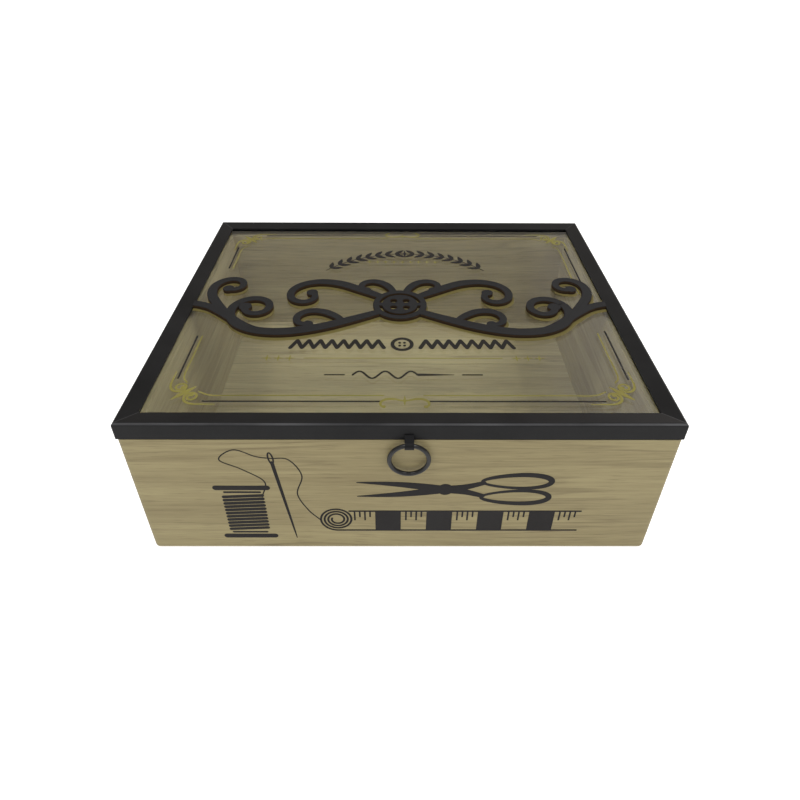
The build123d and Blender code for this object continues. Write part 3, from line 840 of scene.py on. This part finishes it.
class MakeStage(bpy.types.Operator):
    """Make the floor, the soft studio light and the camera"""
    bl_idname = "sewing_box.stage"
    bl_label = "Stage"

    def execute(self, context):
        self.floor(context.scene)
        self.world(context.scene)
        self.lamps(context.scene)
        self.camera(context.scene)
        context.scene.view_settings.view_transform = "Standard"
        context.scene.view_settings.look = "None"
        return {"FINISHED"}

    def floor(self, scene):
        """A pale floor that shines a little, and more as the camera sees it, so that it looks as white as the
        photograph's ground."""
        material, tree, shader = new_material("studio_floor")
        shader.inputs["Base Color"].default_value = (*scene.sewing_box_colours.floor, 1)
        shader.inputs["Roughness"].default_value = 0.9
        shader.inputs["Specular IOR Level"].default_value = 0.1
        shader.inputs["Emission Color"].default_value = (1, 1, 1, 1)
        seen = tree.nodes.new("ShaderNodeLightPath").outputs["Is Camera Ray"]
        tree.links.new(spread(tree, seen, 0, 1, 0.3, 0.65), shader.inputs["Emission Strength"])
        mesh = bpy.data.meshes.new("floor")
        corners = [(x * FLOOR_HALF, y * FLOOR_HALF, 0) for x, y in ((-1, -1), (1, -1), (1, 1), (-1, 1))]
        mesh.from_pydata(corners, [], [(0, 1, 2, 3)])
        mesh.materials.append(material)
        floor = bpy.data.objects.new("floor", mesh)
        scene.collection.objects.link(floor)

    def world(self, scene):
        """A pale room, as the glass mirrors it: dimmer low behind the box, and brightest behind it to the
        right. The camera itself sees white."""
        world = bpy.data.worlds.new("studio")
        world.use_nodes = True
        tree = world.node_tree
        background = tree.nodes["Background"]
        place = tree.nodes.new("ShaderNodeTexCoord").outputs["Generated"]
        x, y, z = add_node(tree, "ShaderNodeSeparateXYZ", {0: place}).outputs
        behind = blended(tree, spread(tree, x, 0.2, 0.45), (0.42, 0.40, 0.365, 1), (1.25, 1.2, 1.15, 1))
        low_behind = blended(tree, 1.0, behind, (0.8, 0.76, 0.74, 1), "MULTIPLY")
        behind = blended(tree, spread(tree, z, 0.35, 0.7), low_behind, behind)
        room = blended(tree, spread(tree, y, -0.1, 0.5), (0.55, 0.55, 0.55, 1), behind)
        seen = tree.nodes.new("ShaderNodeLightPath").outputs["Is Camera Ray"]
        tree.links.new(blended(tree, seen, room, (1, 1, 1, 1)), background.inputs["Color"])
        background.inputs["Strength"].default_value = 1.0
        scene.world = world

    def lamps(self, scene):
        """Two lamps high to the sides, both long from front to back and facing the box. The right one is
        narrow, so the right wall's shade has a clear edge on the panel, and the left one is wide."""
        for name, place, width, depth, power in LAMPS:
            light = bpy.data.lights.new(name, "AREA")
            light.shape = "RECTANGLE"
            light.size, light.size_y, light.energy = width, depth, power
            lamp = bpy.data.objects.new(name, light)
            back = Vector(place).normalized()
            side = Vector((0, 1, 0)).cross(back).normalized()
            turn = Matrix((side, back.cross(side), back)).transposed().to_4x4()
            lamp.matrix_world = Matrix.Translation(place) @ turn
            scene.collection.objects.link(lamp)

    def camera(self, scene):
        """Stands where the photograph was taken: a pitch down, and small turns to the side and about its
        axis."""
        pitch, yaw, roll = [math.radians(degrees) for degrees in CAMERA_TURNS]
        level = Vector((math.cos(yaw), -math.sin(yaw), 0))
        forward = Vector((math.sin(yaw) * math.cos(pitch), math.cos(yaw) * math.cos(pitch), -math.sin(pitch)))
        right = math.cos(roll) * level + math.sin(roll) * level.cross(forward)
        turn = Matrix((right, right.cross(forward), -forward)).transposed().to_4x4()
        data = bpy.data.cameras.new("camera")
        data.sensor_width = 36.0
        data.lens = scene.sewing_box_sizes.camera_lens / MM
        data.shift_y = CAMERA_SHIFT
        data.clip_start, data.clip_end = 0.01, 50
        camera = bpy.data.objects.new("camera", data)
        camera.matrix_world = Matrix.Translation(CAMERA_PLACE) @ turn
        scene.collection.objects.link(camera)
        scene.camera = camera


OPERATORS = (MakeFinishes, MakeRing, MakeScrolls, MakeGlassPrints, MakeFrontPrints, MakeStage)


class SewingBoxPanel(bpy.types.Panel):
    """Lists the steps and settings of the sewing box"""
    bl_idname = "VIEW3D_PT_sewing_box"
    bl_label = "Sewing box"
    bl_space_type = "VIEW_3D"
    bl_region_type = "UI"
    bl_category = "Sewing box"

    def draw(self, context):
        for operator in OPERATORS:
            self.layout.operator(operator.bl_idname)
        for group in (context.scene.sewing_box_sizes, context.scene.sewing_box_colours):
            for name in group.__annotations__:
                self.layout.prop(group, name)


CLASSES = (SewingBoxColours, SewingBoxSizes, *OPERATORS, SewingBoxPanel)


def register():
    for cls in CLASSES:
        bpy.utils.register_class(cls)
    bpy.types.Scene.sewing_box_sizes = bpy.props.PointerProperty(type=SewingBoxSizes)
    bpy.types.Scene.sewing_box_colours = bpy.props.PointerProperty(type=SewingBoxColours)


def unregister():
    del bpy.types.Scene.sewing_box_sizes
    del bpy.types.Scene.sewing_box_colours
    for cls in reversed(CLASSES):
        bpy.utils.unregister_class(cls)


def main():
    """Builds everything in order."""
    register()
    for operator in OPERATORS:
        category, name = operator.bl_idname.split(".")
        getattr(getattr(bpy.ops, category), name)()


if __name__ == "__main__":
    main()
